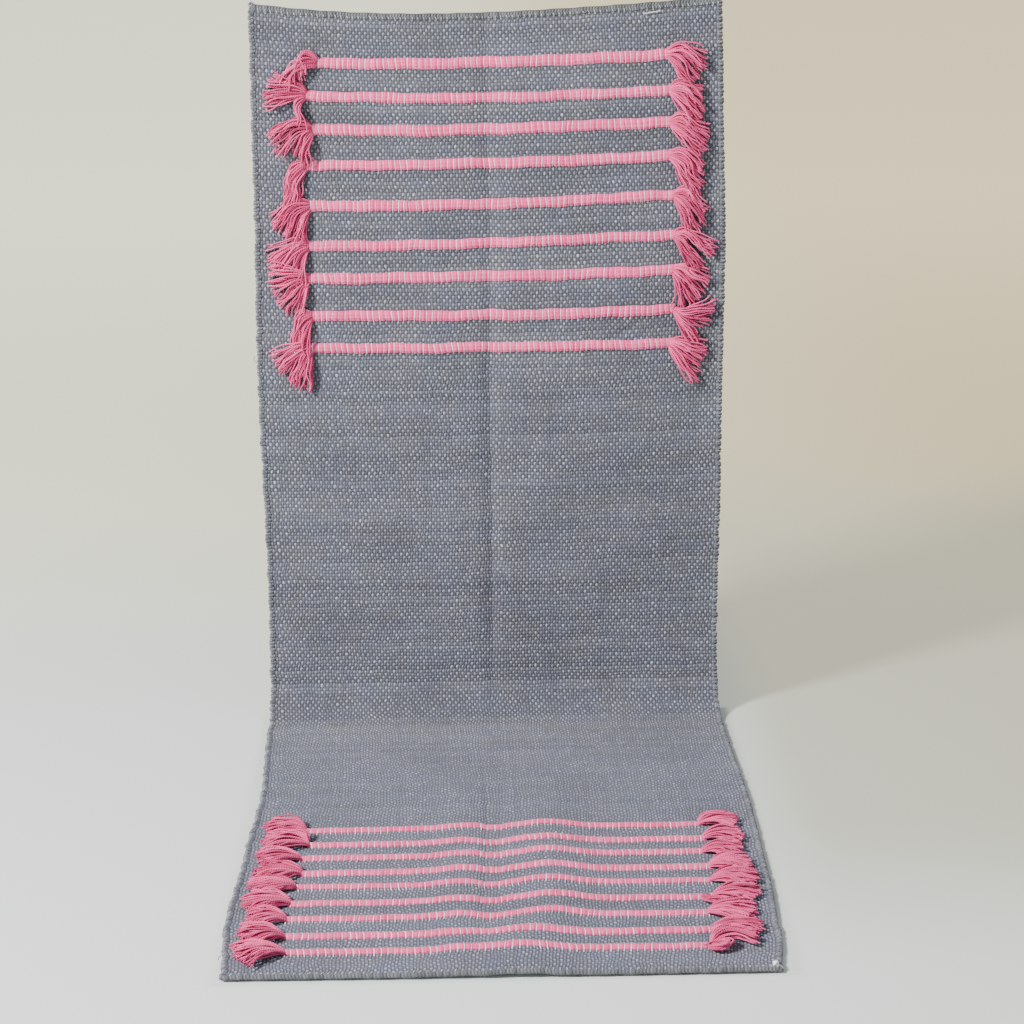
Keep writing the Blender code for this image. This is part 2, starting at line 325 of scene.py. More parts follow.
# ---------------------------------------------------------------- materials
class Cotton:
    """A cotton material whose node tree is built up by short calls."""

    def __init__(self, name, roughness, sheen):
        self.material = bpy.data.materials.new(name)
        self.material.use_nodes = True
        self.tree = self.material.node_tree
        self.shader = self.tree.nodes["Principled BSDF"]
        self.shader.inputs["Roughness"].default_value = roughness
        self.shader.inputs["Specular IOR Level"].default_value = 0.25
        self.shader.inputs["Sheen Weight"].default_value = sheen
        self.shader.inputs["Sheen Roughness"].default_value = 0.5

    def node(self, kind, *values, **settings):
        """A node with its inputs set or linked in order; None leaves an input as it is."""
        made = self.tree.nodes.new("ShaderNode" + kind)
        for setting, value in settings.items():
            setattr(made, setting, value)
        for socket, value in zip([s for s in made.inputs if s.enabled], values):
            if isinstance(value, bpy.types.NodeSocket):
                self.tree.links.new(value, socket)
            elif value is not None:
                socket.default_value = value
        return next(s for s in made.outputs if s.enabled)

    def math(self, operation, *values):
        return self.node("Math", *values, operation=operation)

    def flat(self):
        """The two flat coordinates."""
        split = self.tree.nodes.new("ShaderNodeSeparateXYZ")
        self.tree.links.new(self.node("UVMap", uv_map="flat"), split.inputs[0])
        return split.outputs[0], split.outputs[1]

    def random(self, *coordinates):
        """A number from 0 to 1 for each whole-number place, which has one or two coordinates."""
        made = self.tree.nodes.new("ShaderNodeTexWhiteNoise")
        made.noise_dimensions = f"{len(coordinates)}D"
        if len(coordinates) == 1:
            self.tree.links.new(coordinates[0], made.inputs["W"])
        else:
            self.tree.links.new(self.node("CombineXYZ", *coordinates), made.inputs["Vector"])
        return made.outputs["Value"]

    def noise(self, x, y, x_scale, y_scale, detail=2.0, z=0.0):
        """Smooth noise over two coordinates; z picks a different pattern."""
        scaled = self.math("MULTIPLY", x, x_scale), self.math("MULTIPLY", y, y_scale)
        place = self.node("CombineXYZ", *scaled, z)
        made = self.tree.nodes.new("ShaderNodeTexNoise")
        self.tree.links.new(place, made.inputs["Vector"])
        made.inputs["Scale"].default_value = 1.0
        made.inputs["Detail"].default_value = detail
        return made.outputs["Fac"]

    def span(self, value, low, high, to_low=0.0, to_high=1.0):
        """The value eased from one range to another, and level outside it."""
        return self.node("MapRange", value, low, high, to_low, to_high, interpolation_type="SMOOTHSTEP")

    def mix(self, share, first, second):
        """From the first colour to the second by a share."""
        first, second = ((*c, 1) if isinstance(c, tuple) else c for c in (first, second))
        return self.node("Mix", share, first, second, data_type="RGBA")

    def tinted(self, colour, tint):
        """The product of two colours."""
        return self.node("Mix", 1.0, colour, tint, data_type="RGBA", blend_type="MULTIPLY")

    def scaled(self, colour, factor):
        """The colour times a number."""
        made = self.tree.nodes.new("ShaderNodeVectorMath")
        made.operation = "SCALE"
        self.tree.links.new(colour, made.inputs[0])
        self.tree.links.new(factor, made.inputs["Scale"])
        return made.outputs[0]

    def finish(self, colour, height=None, distance=0.0002):
        """The material with its colour, and with bumps of the given distance where it has a height."""
        self.tree.links.new(colour, self.shader.inputs["Base Color"])
        if height is not None:
            bump = self.tree.nodes.new("ShaderNodeBump")
            bump.inputs["Distance"].default_value = distance
            bump.inputs["Strength"].default_value = 1.0
            self.tree.links.new(height, bump.inputs["Height"])
            self.tree.links.new(bump.outputs[0], self.shader.inputs["Normal"])
        return self.material


def weave_cotton():
    """Plain weave: pale lilac warps that show as upright ovals between blue-grey wefts."""
    c = Cotton("ground_weave", 0.92, 0.15)
    u, v = c.flat()
    x = c.math("DIVIDE", u, WARP_PITCH)
    y = c.math("DIVIDE", v, WEFT_PITCH)
    across = c.math("COSINE", c.math("MULTIPLY", x, math.pi))
    along = c.math("COSINE", c.math("MULTIPLY", y, math.pi))
    over = c.math("MULTIPLY", across, along)
    warp, weft = c.math("ROUND", x), c.math("ROUND", y)
    crossing = c.random(warp, weft)
    fibres = c.noise(u, v, 2600.0, 900.0, 3.0)
    streaks = c.noise(u, v, 45.0, 520.0, 3.0, z=2.0)
    mottle = c.noise(u, v, 9.0, 16.0, 4.0, z=5.0)
    patches = c.noise(u, v, 26.0, 34.0, 3.0, z=8.0)
    narrow = c.math("MULTIPLY", over, c.math("ABSOLUTE", across))
    dot = c.span(narrow, 0.06, 0.52)
    weft_tone = c.math("ADD", c.math("MULTIPLY", c.random(weft), 0.45), c.math("MULTIPLY", streaks, 0.60))
    weft_colour = c.mix(weft_tone, (0.060, 0.064, 0.086), (0.145, 0.152, 0.194))
    cluster = c.span(c.noise(u, v, 70.0, 150.0, 2.0, z=11.0), 0.35, 0.72)
    bright = c.math("MULTIPLY", c.math("POWER", crossing, 1.6), c.span(cluster, 0.0, 1.0, 0.45, 1.25))
    tone = c.math("ADD", c.math("MULTIPLY", bright, 0.62), c.math("MULTIPLY", c.random(warp), 0.22))
    warp_colour = c.mix(tone, (0.175, 0.180, 0.220), (0.560, 0.570, 0.640))
    colour = c.mix(dot, weft_colour, warp_colour)
    tint = c.mix(c.span(patches, 0.35, 0.68), (1.03, 1.00, 0.95), (0.98, 0.99, 1.04))
    colour = c.tinted(colour, tint)
    # the part that lies on the floor is painted bluer, a painted tint for the cooler light that falls on it
    painted_cool_light = c.mix(c.span(v, FLOOR_END - 0.15, BEND_END), (0.97, 1.00, 1.14), (1.00, 1.00, 1.00))
    colour = c.tinted(colour, painted_cool_light)
    # painted shade: the colour is darkened in the hollows between the warps and the wefts
    between_warps = c.span(c.math("ABSOLUTE", across), 0.0, 0.85, 1.0, 0.0)
    between_wefts = c.span(c.math("ABSOLUTE", along), 0.0, 0.90, 1.0, 0.0)
    hollow_shade = c.math("MULTIPLY", between_warps, between_wefts)
    shade = c.math("SUBTRACT", 1.0, c.math("MULTIPLY", hollow_shade, 0.84))
    uneven = c.math("SUBTRACT", 1.0, c.math("MULTIPLY", c.random(weft, warp), 0.22))
    shade = c.math("MULTIPLY", shade, uneven)
    shade = c.math("MULTIPLY", shade, c.span(fibres, 0.25, 0.75, 0.75, 1.25))
    shade = c.math("MULTIPLY", shade, c.span(mottle, 0.3, 0.7, 0.88, 1.12))
    ridge = c.math("ABSOLUTE", over)
    height = c.math("ADD", ridge, c.math("MULTIPLY", fibres, 0.35))
    return c.finish(c.scaled(colour, shade), height, 0.0008)


def yarn_cotton(name, dark, light, twist, depth=0.25):
    """Loose or wrapped yarn, for tubes: each is a little lighter or darker, with the plies' slant on it.
    twist is in turns per metre, and depth is how much darker the plies' grooves are and lighter their crests,
    as painted shade."""
    c = Cotton(name, 0.9, 0.15)
    along, number = c.flat()
    one = c.random(c.math("FLOOR", number))
    lay = c.math("ADD", c.math("MULTIPLY", along, twist), c.math("MULTIPLY", number, 2.0))
    plies = c.math("SINE", c.math("MULTIPLY", lay, 2 * math.pi))
    fibres = c.noise(along, number, 700.0, 9.0, 3.0)
    patch = c.noise(along, number, 60.0, 3.1, 2.0, z=3.0)
    tone = c.math("ADD", c.math("MULTIPLY", one, 0.7), c.math("MULTIPLY", patch, 0.40))
    colour = c.mix(tone, dark, light)
    # painted shade: darker in the plies' grooves, lighter on their crests
    shade = c.math("ADD", 1.0, c.math("MULTIPLY", plies, depth))
    shade = c.math("MULTIPLY", shade, c.span(fibres, 0.25, 0.75, 0.85, 1.15))
    return c.finish(c.scaled(colour, shade), c.math("ADD", plies, fibres), 0.00012)


def bundle_cotton():
    """The inlay bundles: parallel pink strands, puffed up between the tie threads."""
    c = Cotton("inlay_bundle", 0.88, 0.2)
    u, number = c.flat()
    strands = c.math("SINE", c.math("MULTIPLY", number, 14 * math.pi))
    rib = c.math("ABSOLUTE", c.math("COSINE", c.math("MULTIPLY", u, math.pi / WARP_PITCH)))
    fibres = c.noise(u, number, 900.0, 30.0, 3.0)
    slow = c.noise(u, number, 35.0, 0.9, 2.0, z=4.0)
    tone = c.math("ADD", c.math("MULTIPLY", fibres, 0.5), c.math("MULTIPLY", slow, 0.6))
    puff = c.random(c.math("ROUND", c.math("DIVIDE", u, TIE_PITCH)), c.math("FLOOR", number))
    tone = c.math("ADD", c.math("MULTIPLY", tone, 0.7), c.math("MULTIPLY", puff, 0.35))
    colour = c.mix(tone, (0.640, 0.028, 0.125), (1.000, 0.130, 0.370))
    # painted shade: darker between the strands and in the grooves between the ribs
    shade = c.math("ADD", 0.98, c.math("MULTIPLY", strands, 0.08))
    shade = c.math("MULTIPLY", shade, c.span(rib, 0.0, 0.35, 0.78, 1.0))
    return c.finish(c.scaled(colour, shade), c.math("ADD", strands, c.math("MULTIPLY", rib, 2.0)), 0.00015)


def hem_cotton():
    """The folded ends: the cloth's own yarns, turned over the edge as close ribs."""
    c = Cotton("hem_fold", 0.92, 0.15)
    u, v = c.flat()
    x = c.math("DIVIDE", u, WARP_PITCH)
    slanted = c.math("ADD", x, c.math("MULTIPLY", v, 120.0))
    rib = c.math("COSINE", c.math("MULTIPLY", slanted, 2 * math.pi))
    thread = c.random(c.math("ROUND", x))
    fibres = c.noise(u, v, 900.0, 1500.0, 3.0)
    tone = c.math("ADD", c.math("MULTIPLY", thread, 0.55), c.math("MULTIPLY", fibres, 0.5))
    colour = c.mix(tone, (0.050, 0.052, 0.062), (0.200, 0.205, 0.225))
    # painted shade: darker in the grooves between the ribs, lighter on their crests
    shade = c.math("ADD", 0.88, c.math("MULTIPLY", rib, 0.14))
    return c.finish(c.scaled(colour, shade), c.math("ADD", rib, fibres), 0.0003)


# ---------------------------------------------------------------- ground cloth
def edge_points(side, angles):
    """Outline points round an edge cord: u, w and the way out."""
    centre = WIDTH / 2 - SELVEDGE_RADIUS
    points = []
    for angle in angles:
        out_u, out_w = side * math.cos(angle), math.sin(angle)
        u = side * centre + SELVEDGE_RADIUS * out_u
        points.append((u, SELVEDGE_RADIUS * out_w + SELVEDGE_LIFT, out_u, out_w))
    return points


def cloth_outline():
    """Once round the cloth from the middle of the left selvedge: u, w, the way out (in u and w), and the
    coordinate round the cloth, which makes a thread that is up in front go down at the back."""
    step = WARP_PITCH / SAMPLES_PER_THREAD
    reach = WIDTH / 2 - 2 * SELVEDGE_RADIUS
    columns = int(reach / step)
    face = [(u, FACE_HEIGHT, 0, 1) for u in np.arange(-columns, columns + 1) * step]
    turn = np.radians((100, 72, 44, 15))
    front = np.array(edge_points(-1, turn[::-1]) + face + edge_points(1, turn))
    back = front[::-1].copy()
    edge = np.abs(back[:, 2]) > 0
    back[:, 1] = np.where(edge, 2 * SELVEDGE_LIFT - back[:, 1], -back[:, 1])
    back[:, 3] = -back[:, 3]
    once_round = (WARPS + 1) * WARP_PITCH
    coordinate = np.concatenate((front[:, 0], once_round - back[:, 0], [front[0, 0] + 2 * once_round]))
    return np.concatenate((front, back)), coordinate


def cloth_rings(first_row, last_row):
    """The cloth's rings and flat coordinates from one half-weft row to another."""
    outline, coordinate = cloth_outline()
    u, w, out_u, out_w = outline.T
    v = np.arange(first_row, last_row + 1)[:, None] * WEFT_PITCH / SAMPLES_PER_THREAD
    relief = WEAVE_RELIEF * np.cos(math.pi * coordinate[:-1] / WARP_PITCH) * np.cos(math.pi * v / WEFT_PITCH)
    relief = np.where(np.abs(out_u) > 0, 0.0, relief)
    rings = on_rug(u + out_u * relief, v, w + out_w * relief)
    flat = np.stack(np.broadcast_arrays(coordinate, v), axis=-1)
    return rings[None], flat[None]


def row_at(v):
    """The row of the cloth's mesh nearest to v. Rows are a share of a weft apart."""
    return round(v / WEFT_PITCH * SAMPLES_PER_THREAD)


def thirds(start, end, first_row, last_row):
    """The four rows that cut a stretch from v = start to v = end in three."""
    between = (row_at(start + (end - start) * share / 3) for share in (1, 2))
    return (first_row, *between, last_row)


def stretches():
    """The rug's stretches along its length: name, first and last row, and the bodies it lies on: one, or the
    two it lies between.
    """
    floor_end = math.floor(FLOOR_END / WEFT_PITCH * SAMPLES_PER_THREAD)
    bend_end = math.ceil(BEND_END / WEFT_PITCH * SAMPLES_PER_THREAD)
    floor, low, high, hanging = ("floor_part", "bend_low_part", "bend_high_part", "hanging_part")
    joined = ((floor, low), (low, high), (high, hanging))
    parts = (
        ("floor", thirds(0, FLOOR_END, 0, floor_end), ((floor,),) * 3),
        ("bend", thirds(FLOOR_END, BEND_END, floor_end, bend_end), joined),
        ("hanging", thirds(BEND_END, LENGTH, bend_end, row_at(LENGTH)), ((hanging,),) * 3),
    )
    return [
        (f"{part}_{number + 1}", rows[number], rows[number + 1], bodies[number])
        for part, rows, bodies in parts
        for number in range(3)
    ]


def follow(piece, bodies):
    """The piece rides on its body; a piece between two bodies is left where it lies, with its place baked
    into its mesh.
    """
    if len(bodies) == 1:
        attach(piece, bodies[0])
    else:
        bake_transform(piece)


def make_cloth(weave, selvedge):
    """The cloth and its selvedge turns, stretch by stretch."""
    half_hem = HEM_WIDTH / 2
    spacing = WEFT_PITCH / SAMPLES_PER_THREAD
    cloths = {}
    for name, first_row, last_row, bodies in stretches():
        start = first_row if first_row else row_at(half_hem)
        end = min(last_row, row_at(LENGTH - half_hem))
        cloth = make_piece("cloth_" + name, *cloth_rings(start, end), weave, "ground_cotton")
        turns = make_selvedge_turns(name, first_row, last_row, selvedge)
        for piece in (cloth, turns):
            follow(piece, bodies)
        cloths[name] = (cloth, turns, (end - start) * spacing)
    return cloths


def make_selvedge_turns(name, first_row, last_row, material):
    """The wefts where they turn round the edge cords, one loop beside the next, on both edges."""
    random = np.random.default_rng(first_row + 11)
    wefts = np.arange(math.ceil(first_row / SAMPLES_PER_THREAD), math.ceil(last_row / SAMPLES_PER_THREAD))
    wefts = wefts[(wefts >= 1) & (wefts <= WEFTS - 1)]
    angle = np.radians(np.linspace(150, -150, 11))
    paths, radii = [], []
    for side in (-1, 1):
        for weft in wefts:
            fat = 1 + random.normal(0, 0.06)
            reach = (SELVEDGE_RADIUS + 0.0003) * fat
            slant = 0.0018 * side * np.sin(angle) + 0.0005 * (-1) ** weft
            u = side * (WIDTH / 2 - SELVEDGE_RADIUS + reach * np.cos(angle) + 0.0004)
            v = (weft + 0.5) * WEFT_PITCH + slant + random.normal(0, 0.00018)
            w = SELVEDGE_LIFT + reach * 0.86 * np.sin(angle)
            w = np.where(np.cos(angle) < 0, w * (1 + 0.35 * np.cos(angle)), w)
            w = np.maximum(w, SELVEDGE_TUBE * fat - MIDDLE_Z + 0.0002)
            paths.append(on_rug(u, v, w))
            radii.append(np.full(len(angle), SELVEDGE_TUBE * fat))
    rings, flat = tube_rings(np.array(paths), np.array(radii))
    return make_piece("selvedge_" + name, rings, flat, material, "ground_cotton")


# ---------------------------------------------------------------- hems
HEM_SAMPLES_PER_WARP = 4
HEM_OVERHANG = 0.0004
HEM_SIDES = 20
# How far the outer underside of a hem is rounded off
HEM_UNDERCUT = 0.0026


def round_angles(sides):
    """Evenly spaced angles round a bar, from straight up."""
    return (np.arange(sides) + 0.5) * 2 * math.pi / sides + math.pi / 2


def make_hem(name, v_low, v_high, body, outward, material):
    """The folded end of the cloth: a flat roll with a rib for each warp."""
    rows = HEM_SAMPLES_PER_WARP * WARPS
    reach = WIDTH / 2 + HEM_OVERHANG
    u = np.linspace(-reach, reach, rows + 1)[:, None]
    angle = round_angles(HEM_SIDES)
    half_v = (v_high - v_low) / 2
    half_w = HEM_THICKNESS / 2 - 0.0003
    rib = 0.00022 * np.cos(2 * math.pi * u / WARP_PITCH + 1.3 * np.cos(angle))
    rib = rib + 0.0003 * np.sin(190 * u + angle)
    squared = [np.abs(wave(angle)) ** 0.8 * np.sign(wave(angle)) for wave in (np.cos, np.sin)]
    v = (v_low + v_high) / 2 + squared[0] * (half_v + rib)
    w = HEM_THICKNESS / 2 - MIDDLE_Z + squared[1] * (half_w + rib)
    w = w + np.where(squared[1] < 0, HEM_UNDERCUT * np.clip(squared[0] * outward, 0, 1), 0)
    taper = np.clip((WIDTH / 2 + 0.0006 - np.abs(u)) / 0.003, 0, 1) ** 0.5
    w = HEM_THICKNESS / 2 - MIDDLE_Z + (w - HEM_THICKNESS / 2 + MIDDLE_Z) * taper
    rings = on_rug(u, v, w)[None]
    flat = np.empty((1, rows + 1, HEM_SIDES + 1, 2))
    flat[..., 0] = u
    flat[..., 1] = np.arange(HEM_SIDES + 1) * 0.001
    hem = make_piece(name, rings, flat, material, "hem_cotton")
    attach(hem, body)
    return hem


STITCHES = 80
SEAM = HEM_WIDTH * 0.72


def make_stitches(name, v_seam, body, towards, material):
    """The sewing thread where it shows: short slanted stitches along the hem's inner edge."""
    random = np.random.default_rng(5)
    share = np.linspace(0, 1, 7)
    paths = []
    for number in range(-STITCHES // 2 + 1, STITCHES // 2):
        u = (number + 0.5) * TIE_PITCH + random.normal(0, 0.0003)
        lean = 0.0014 + random.normal(0, 0.0004)
        long = 0.0034 + random.normal(0, 0.0004)
        w = HEM_THICKNESS - MIDDLE_Z - 0.0007 + 0.0011 * np.sin(math.pi * share) - 0.0012 * share
        paths.append(on_rug(u + lean * (share - 0.5), v_seam + towards * long * (share - 0.4), w))
    thick = np.array([0.0003, 0.00045, 0.0005, 0.0005, 0.0005, 0.00045, 0.0003])
    rings, flat = tube_rings(np.array(paths), thick)
    stitches = make_piece(name, rings, flat, material, "hem_cotton")
    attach(stitches, body)
    return stitches


# ---------------------------------------------------------------- inlay bundles
UPPER_LEFT_ENDS = (0.181, 0.194, 0.188, 0.196, 0.193, 0.196, 0.196, 0.193, 0.193)
UPPER_RIGHT_ENDS = (0.195, 0.196, 0.197, 0.195, 0.198, 0.198, 0.197, 0.198, 0.195)
LOWER_LEFT_ENDS = (0.197, 0.191, 0.197, 0.193, 0.194, 0.196, 0.198, 0.198, 0.198)
LOWER_RIGHT_ENDS = (0.196, 0.198, 0.195, 0.198, 0.197, 0.196, 0.191, 0.192, 0.188)
# How much higher the upper bands lie on the cloth than in the frame
UPPER_BAND_RISE = 0.0042
# How much higher each upper band lies at the right edge than at the left
UPPER_BAND_SLOPES = (0.0012, -0.0020, 0.0004, 0.0042, 0.0068, 0.0054, 0.0028, -0.0004, -0.0034)


def flat_v(point):
    """The flat v of a row-frame point on the floor stretch or on the hanging stretch."""
    if point.z > HANG_Z:
        return BEND_END + point.z - HANG_Z
    return point.y - FRONT_EDGE


def band_line(group, number):
    """The flat v of a band at its ends, from the CAD node's box."""
    low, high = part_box(f"inlay_band_{group}_{number}")
    if group == "lower":
        return (flat_v(low) + flat_v(high)) / 2
    return BEND_END + high.z - BAND_WIDTH / 2 - HANG_Z + UPPER_BAND_RISE


def band_wander(u, group, number):
    """How far a band strays from its straight line: hand-laid bands slope and waver a little."""
    slope = UPPER_BAND_SLOPES[number - 1] if group == "upper" else 0
    return slope * u / WIDTH + 0.0004 * np.sin(17 * u + 2.1 * number) + 0.0002 * np.sin(61 * u + number)


BAND_SIDES = 18
TIE_TUCK = 0.0008
TIE_RUN_ON = 0.0042


def is_slim(group, number):
    """Every other lower bundle is slimmer, and its ties run on past it."""
    return group == "lower" and number % 2 == 1


def make_band(group, number, body, left, right, material):
    """A bundle of strands across the face, pinched where each tie thread crosses it."""
    v_line = band_line(group, number)
    rows = int((left + right) / TIE_PITCH * 6) + 1
    u = np.linspace(-left - 0.001, right + 0.001, rows)[:, None]
    angle = round_angles(BAND_SIDES)
    shift = (number % 2) * WARP_PITCH
    pinch = np.cos(math.pi * (u - shift) / TIE_PITCH) ** 12
    half_pinch = np.cos(math.pi * (u - shift) / TIE_PITCH + math.pi / 2) ** 16
    slim = 0.86 if is_slim(group, number) else 1.0
    strands = 1 + 0.055 * np.cos(9 * angle + 0.6 * np.sin(40 * u))
    half = slim * BAND_WIDTH / 2 * (1 - 0.18 * pinch - 0.04 * half_pinch) * strands
    high = BAND_HEIGHT * (1 - 0.34 * pinch - 0.07 * half_pinch) * strands
    rise = np.where(np.sin(angle) > 0, np.abs(np.sin(angle)) ** 0.8 * high, 0.0006 * np.sin(angle))
    v = v_line + band_wander(u, group, number) + np.cos(angle) * half
    w = FACE_HEIGHT + rise
    rings = on_rug(u, v, w)[None]
    flat = np.empty((1, rows, BAND_SIDES + 1, 2))
    flat[..., 0] = u - shift
    flat[..., 1] = number + np.arange(BAND_SIDES + 1) / BAND_SIDES
    band = make_piece(f"bundle_{group}_{number}", rings, flat, material, "inlay_cotton")
    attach(band, body)
    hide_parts(f"inlay_band_{group}_{number}")
    return band


def make_ties(group, number, body, left, right, material):
    """The white threads of the weave that pass over a bundle."""
    v_line = band_line(group, number)
    random = np.random.default_rng(number * 7 + len(group))
    shift = (number % 2) * WARP_PITCH
    first, last = math.ceil((-left - shift) / TIE_PITCH), math.floor((right - shift) / TIE_PITCH)
    run_on = TIE_RUN_ON if is_slim(group, number) else TIE_TUCK
    half = BAND_WIDTH / 2 * (0.80 if is_slim(group, number) else 0.90)
    angle = np.radians(np.linspace(0, 180, 9))
    paths = []
    for tie in range(first, last + 1):
        u = tie * TIE_PITCH + shift + random.normal(0, 0.00022)
        over_v = half * -np.cos(angle)
        over_w = FACE_HEIGHT + BAND_HEIGHT * 0.76 * np.sin(angle) ** 0.8
        v = np.concatenate(([-half - run_on - TIE_TUCK, -half - run_on * 0.6], over_v, [half + 0.0009]))
        w = np.concatenate(([FACE_HEIGHT - 0.0012, FACE_HEIGHT + 0.0002], over_w, [FACE_HEIGHT - 0.0012]))
        lean = 0.0001 * np.sin(v * 300 + tie)
        paths.append(on_rug(u + lean, v_line + band_wander(u, group, number) + v, w))
    thick = TIE_RADIUS * random.uniform(0.8, 1.7, (len(paths), 1))
    rings, flat = tube_rings(np.array(paths), thick)
    ties = make_piece(f"ties_{group}_{number}", rings, flat, material, "inlay_cotton")
    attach(ties, body)
    return ties


# ---------------------------------------------------------------- tassels
# Each tassel: how far it stands off the cloth in mm, the share of its length by which it has turned, and
# its locks from the top one down. A lock's three numbers are its heading at the root, its heading at the
# ends and its length in mm. Headings are degrees from straight outwards, positive towards the front edge.
TASSELS = {
    "upper_right": (
        (19, 0.45, (-48, 32, 44), (-38, 28, 44), (-25, 40, 44), (0, 50, 42), (35, 62, 40), (55, 58, 42)),
        (19, 0.45, (-45, 22, 38), (-35, 44, 42), (-10, 50, 45), (5, 50, 46), (30, 55, 45), (48, 56, 45)),
        (18, 0.45, (-40, 28, 42), (-30, 40, 45), (-10, 42, 46), (10, 44, 46), (30, 46, 45), (55, 42, 44)),
        (15, 0.45, (-38, 48, 47), (-25, 50, 47), (-5, 50, 47), (15, 55, 47), (32, 58, 48), (48, 60, 50)),
        (15, 0.50, (-36, 50, 44), (-20, 48, 44), (0, 55, 44), (20, 62, 45), (45, 64, 46), (60, 62, 48)),
        (15, 0.40, (-30, 38, 50), (-15, 40, 50), (0, 58, 38), (20, 56, 42), (42, 58, 44), (55, 58, 45)),
        (15, 0.45, (-15, 30, 42), (0, 36, 43), (10, 48, 43), (30, 56, 43), (48, 62, 43), (66, 78, 38)),
        (15, 0.40, (40, -14, 46), (30, -4, 44), (35, 12, 42), (42, 45, 36), (50, 60, 42), (58, 56, 46)),
        (15, 0.45, (-18, 20, 41), (-5, 26, 42), (10, 30, 42), (35, 50, 42), (50, 58, 46), (60, 52, 48)),
    ),
    "upper_left": (
        (14, 0.70, (-52, 96, 46), (-46, 92, 45), (-38, 84, 45), (-30, 70, 48), (-20, 60, 51), (-8, 64, 53)),
        (13, 0.55, (-42, -12, 42), (-26, 0, 44), (-12, 8, 46), (4, 20, 47), (8, 96, 36), (30, 88, 34)),
        (13, 0.60, (-40, 34, 52), (-22, 36, 54), (-6, 58, 50), (0, 92, 38), (22, 94, 36), (50, 88, 38)),
        (10, 0.60, (-6, 82, 44), (6, 84, 48), (20, 82, 50), (30, 78, 52), (42, 76, 52), (50, 74, 50)),
        (11, 0.60, (-20, 50, 50), (-4, 54, 52), (10, 60, 50), (20, 70, 44), (46, 84, 38), (62, 74, 50)),
        (11, 0.50, (-18, 32, 48), (-6, 40, 48), (8, 52, 46), (22, 62, 44), (40, 78, 40), (60, 80, 44)),
        (12, 0.50, (-34, -6, 43), (-14, 6, 44), (0, 24, 44), (20, 42, 44), (38, 58, 44), (66, 84, 36)),
        (10, 0.55, (-10, 82, 42), (6, 84, 44), (18, 86, 46), (30, 86, 46), (44, 84, 46), (66, 88, 42)),
        (11, 0.50, (-20, 30, 48), (-4, 38, 48), (12, 52, 46), (26, 66, 46), (44, 78, 44), (74, 84, 46)),
    ),
    "lower_left": (
        (12, 0.60, (-44, -10, 40), (-38, 0, 42), (-30, 4, 43), (-22, 8, 43), (-12, 14, 42), (0, 24, 40)),
        (12, 0.70, (-65, 0, 48), (-48, 4, 49), (-30, 8, 49), (-14, 16, 48), (0, 26, 46), (20, 36, 44)),
        (11, 0.60, (-30, -12, 42), (-18, -2, 42), (-6, 6, 42), (6, 14, 42), (18, 22, 42), (30, 34, 40)),
        (11, 0.60, (-28, -14, 44), (-14, -4, 45), (-4, 4, 46), (8, 14, 46), (18, 24, 45), (40, 44, 40)),
        (11, 0.60, (-24, -16, 44), (-12, -6, 45), (0, 4, 46), (10, 14, 46), (18, 24, 45), (26, 32, 43)),
        (11, 0.60, (-30, -10, 44), (-18, -2, 45), (-6, 6, 45), (6, 16, 45), (18, 26, 44), (30, 34, 42)),
        (11, 0.60, (-26, -22, 35), (-14, -10, 36), (-2, 0, 37), (10, 10, 37), (20, 24, 37), (30, 38, 37)),
        (12, 0.60, (-30, -10, 41), (-16, 0, 42), (-2, 10, 42), (10, 20, 42), (22, 30, 42), (34, 42, 40)),
        (11, 0.60, (-22, -8, 44), (-10, 2, 45), (2, 12, 46), (14, 22, 46), (24, 34, 46), (34, 46, 46)),
    ),
    "lower_right": (
        (11, 0.45, (-70, -6, 38), (-55, 2, 39), (-36, 4, 39), (-12, 4, 39), (4, 12, 38), (20, 22, 37)),
        (11, 0.60, (-40, -6, 38), (-28, 2, 38), (-14, 6, 38), (0, 12, 38), (14, 20, 38), (28, 30, 37)),
        (11, 0.60, (-36, -6, 39), (-24, 2, 39), (-10, 6, 39), (2, 12, 39), (14, 22, 39), (28, 36, 38)),
        (11, 0.60, (-40, -26, 39), (-22, -8, 40), (-8, 2, 40), (4, 10, 40), (16, 22, 39), (30, 30, 38)),
        (11, 0.60, (-34, -14, 42), (-20, -4, 44), (-6, 4, 45), (6, 12, 45), (18, 22, 44), (30, 34, 42)),
        (11, 0.60, (-30, -20, 42), (-16, -10, 44), (-4, 0, 44), (8, 12, 43), (26, 28, 42), (150, 20, 39)),
        (11, 0.60, (-30, -14, 42), (-14, -2, 43), (-2, 6, 44), (12, 16, 43), (28, 28, 41), (44, 36, 39)),
        (11, 0.60, (-34, -8, 42), (-18, 2, 44), (-4, 8, 45), (8, 16, 45), (20, 26, 43), (32, 36, 41)),
        (13, 1.0, (-66, 14, 46), (-56, 20, 47), (-44, 26, 47), (-26, 34, 46), (80, -170, 50), (88, -215, 54)),
    ),
}


